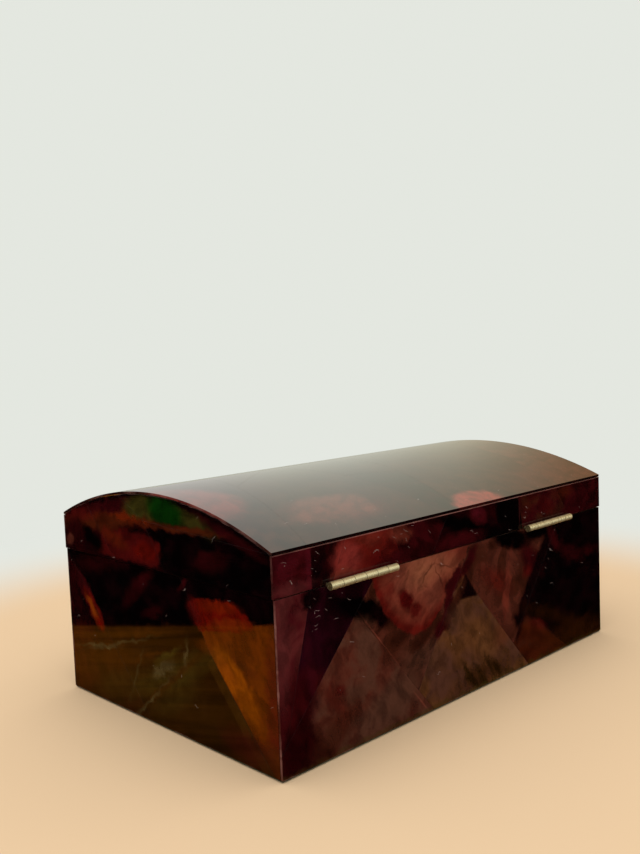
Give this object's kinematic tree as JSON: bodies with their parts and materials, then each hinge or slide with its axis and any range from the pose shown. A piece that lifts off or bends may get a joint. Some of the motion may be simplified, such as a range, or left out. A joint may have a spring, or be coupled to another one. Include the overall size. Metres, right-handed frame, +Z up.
{
  "type": "hinged trinket box",
  "caption": "Low oblong box with an arched lid on brass butt hinges, covered in polished coconut shell plates and lined with velvet.",
  "frame": {"origin": "middle of the underside of the baize, on which the box rests", "axes": "+X along the length to the right end seen from the front, +Y towards the hinges at the back, +Z up"},
  "size_m": [0.3016, 0.1995, 0.131],
  "materials": {
    "carcass_wood": "planed softwood, stained on the rims",
    "shell_walls": "polished dark shell plates under clear lacquer, high gloss",
    "shell_ends": "polished near-black shell plates under clear lacquer, high gloss",
    "shell_crown": "polished dark shell plates under clear lacquer, high gloss",
    "velvet_lining": "short pile",
    "green_baize": "felted wool",
    "hinge_brass": "aged, rubbed bright",
    "pin_and_screw_brass": "dull, aged"
  },
  "bodies": {
    "base": {"base_front_board": "carcass_wood", "base_back_board": "carcass_wood", "base_left_end_board": "carcass_wood", "base_right_end_board": "carcass_wood", "base_bottom_board": "carcass_wood", "underside_baize": "green_baize", "base_front_shell": "shell_walls", "base_back_shell": "shell_walls", "base_left_end_shell": "shell_ends", "base_right_end_shell": "shell_ends", "base_floor_lining": "velvet_lining", "base_front_lining": "velvet_lining", "base_back_lining": "velvet_lining", "base_left_end_lining": "velvet_lining", "base_right_end_lining": "velvet_lining", "left_hinge_base_leaf": "hinge_brass", "right_hinge_base_leaf": "hinge_brass", "left_hinge_pin": "pin_and_screw_brass", "right_hinge_pin": "pin_and_screw_brass", "left_hinge_base_screw_1": "pin_and_screw_brass", "left_hinge_base_screw_2": "pin_and_screw_brass", "left_hinge_base_screw_3": "pin_and_screw_brass", "right_hinge_base_screw_1": "pin_and_screw_brass", "right_hinge_base_screw_2": "pin_and_screw_brass", "right_hinge_base_screw_3": "pin_and_screw_brass"},
    "lid": {"lid_front_rail": "carcass_wood", "lid_back_rail": "carcass_wood", "lid_left_arched_end": "carcass_wood", "lid_right_arched_end": "carcass_wood", "lid_crown_board": "carcass_wood", "lid_front_shell": "shell_walls", "lid_back_shell": "shell_walls", "lid_left_end_shell": "shell_ends", "lid_right_end_shell": "shell_ends", "lid_crown_shell": "shell_crown", "lid_ceiling_lining": "velvet_lining", "lid_front_lining": "velvet_lining", "lid_back_lining": "velvet_lining", "lid_left_end_lining": "velvet_lining", "lid_right_end_lining": "velvet_lining", "left_hinge_lid_leaf": "hinge_brass", "right_hinge_lid_leaf": "hinge_brass", "left_hinge_lid_screw_1": "pin_and_screw_brass", "left_hinge_lid_screw_2": "pin_and_screw_brass", "left_hinge_lid_screw_3": "pin_and_screw_brass", "right_hinge_lid_screw_1": "pin_and_screw_brass", "right_hinge_lid_screw_2": "pin_and_screw_brass", "right_hinge_lid_screw_3": "pin_and_screw_brass"}
  },
  "joints": [
    {"name": "lid_hinge", "type": "hinge", "parent": "base", "child": "lid", "pos_m": [0, 0.0999, 0.0885], "axis": [-1, 0, 0], "range_deg": [0, 190]}
  ]
}
